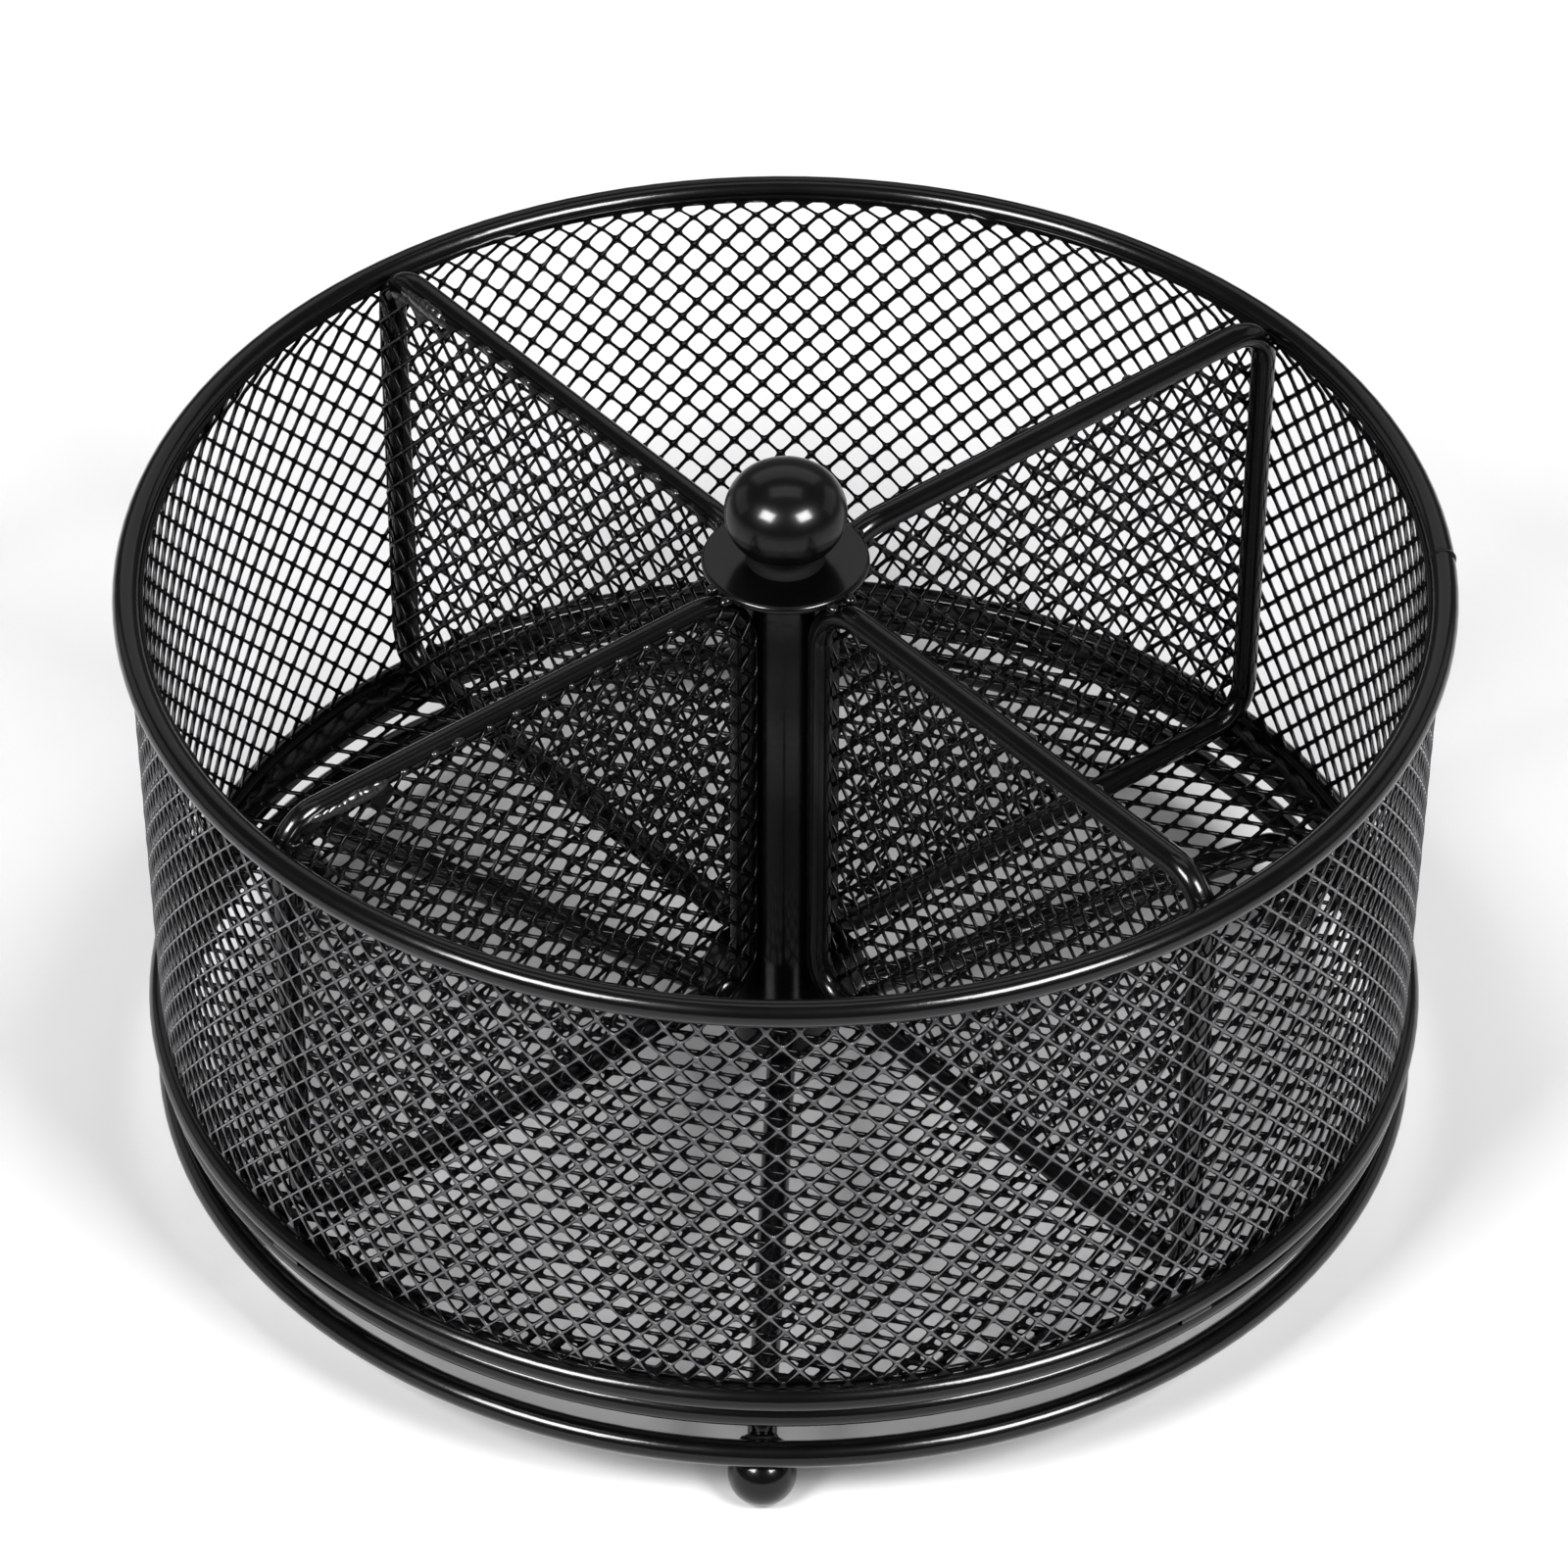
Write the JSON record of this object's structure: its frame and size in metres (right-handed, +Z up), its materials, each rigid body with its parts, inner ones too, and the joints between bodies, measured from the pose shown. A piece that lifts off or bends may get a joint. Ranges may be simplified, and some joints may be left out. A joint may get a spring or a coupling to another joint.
{
  "type": "lazy susan organizer",
  "caption": "Round black wire-mesh desk organizer with radial dividers, a centre post and ball knob, turning on a low wire base with ball feet.",
  "frame": {"origin": "on the standing surface, under the centre of the basket", "axes": "+Z up along the spin axis; the four dividers lie along +X, +Y, -X and -Y at rest"},
  "size_m": [0.2552, 0.2552, 0.1567],
  "materials": {
    "black_wire": "gloss powder coat",
    "black_mesh": "gloss powder coat on expanded mesh",
    "black_knob": "smooth gloss paint",
    "zinc_hardware": "zinc plated",
    "bearing_steel": "ground and polished",
    "cage_nylon": "moulded, satin"
  },
  "bodies": {
    "base": {"ball_foot_1": "black_wire", "ball_foot_2": "black_wire", "ball_foot_3": "black_wire", "base_hub": "black_wire", "base_leg_1": "black_wire", "base_leg_2": "black_wire", "base_leg_3": "black_wire", "base_ring": "black_wire", "base_welds": "black_wire", "bearing_lower_race": "bearing_steel"},
    "basket": {"bearing_upper_race": "bearing_steel", "cap_disc": "black_wire", "centre_post": "black_wire", "centre_stud": "zinc_hardware", "divider_frame_1": "black_wire", "divider_frame_2": "black_wire", "divider_frame_3": "black_wire", "divider_frame_4": "black_wire", "divider_mesh_1": "black_mesh", "divider_mesh_2": "black_mesh", "divider_mesh_3": "black_mesh", "divider_mesh_4": "black_mesh", "floor_mesh": "black_mesh", "floor_ring": "black_wire", "foot_plate": "black_wire", "knob": "black_knob", "lock_nut": "zinc_hardware", "nut_washer": "zinc_hardware", "ring_welds": "black_wire", "top_rim": "black_wire", "wall_bottom_ring": "black_wire", "wall_mesh": "black_mesh"},
    "bearing_cage_ring": {"bearing_balls": "bearing_steel", "bearing_cage": "cage_nylon"}
  },
  "joints": [
    {"name": "basket_spin", "type": "hinge", "parent": "base", "child": "basket", "pos_m": [0, 0, 0.0302], "axis": [0, 0, 1], "continuous": true},
    {"name": "cage_spin", "type": "hinge", "parent": "base", "child": "bearing_cage_ring", "pos_m": [0, 0, 0.0302], "axis": [0, 0, 1], "continuous": true}
  ],
  "couplings": [
    {"joint": "cage_spin", "follows": "basket_spin", "ratio": 0.5}
  ]
}
